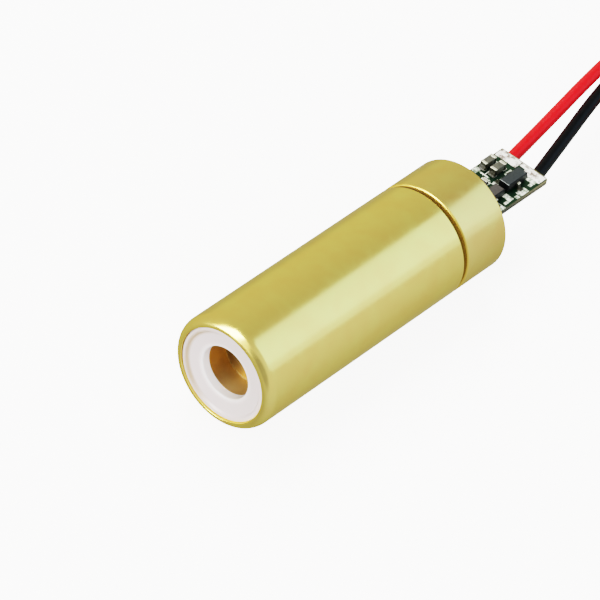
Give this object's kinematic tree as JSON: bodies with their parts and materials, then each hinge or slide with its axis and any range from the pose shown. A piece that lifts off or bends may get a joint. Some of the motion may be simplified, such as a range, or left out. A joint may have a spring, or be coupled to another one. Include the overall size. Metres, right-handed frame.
{
  "type": "laser diode module",
  "caption": "Round brass barrel with a white aperture ring, a lens and laser diode inside, a driver board at the rear and two supply leads; clamped in a holder, it gives a fixed beam.",
  "frame": {"origin": "on the optical axis, half way along the front sleeve", "axes": "the beam leaves along -Y, the leads leave at +Y, +Z is the component side of the driver board"},
  "size_m": [0.0195, 0.0865, 0.012],
  "materials": {
    "turned_brass": "turned and polished, satin",
    "white_acetal": "turned acetal, faintly pink white",
    "optical_glass": "polished",
    "spring_steel": "drawn wire",
    "nickel_plate": "bright nickel",
    "gold_plate": "thin gold plate on steel",
    "semiconductor": "polished die",
    "green_laminate": "solder mask over glass epoxy",
    "tin": "hot tinned",
    "chip_epoxy": "moulded epoxy",
    "capacitor_ceramic": "fired ceramic",
    "resistor_ceramic": "glazed black",
    "red_pvc": "extruded PVC",
    "black_pvc": "extruded PVC",
    "tie_band": "flat nylon band"
  },
  "bodies": {
    "root": {"front_sleeve": "turned_brass", "diode_holder": "turned_brass", "lens_cell": "turned_brass", "lens_retainer": "turned_brass", "aperture_cap": "white_acetal", "collimating_lens": "optical_glass", "diode_window": "optical_glass", "pin_seals": "optical_glass", "focus_spring": "spring_steel", "diode_can": "nickel_plate", "diode_header": "gold_plate", "diode_pins": "gold_plate", "chip_submount": "semiconductor", "laser_chip": "semiconductor", "monitor_photodiode": "semiconductor", "driver_board": "green_laminate", "board_pads": "tin", "pin_solder": "tin", "lead_solder": "tin", "red_tip": "tin", "black_tip": "tin", "driver_chip": "chip_epoxy", "output_transistor": "chip_epoxy", "driver_chip_legs": "tin", "output_transistor_legs": "tin", "input_capacitor": "capacitor_ceramic", "output_capacitor": "capacitor_ceramic", "input_capacitor_ends": "tin", "output_capacitor_ends": "tin", "sense_resistor": "resistor_ceramic", "sense_resistor_ends": "tin", "red_lead": "red_pvc", "black_lead": "black_pvc", "lead_coil": "black_pvc", "coil_tie": "tie_band"}
  },
  "joints": []
}
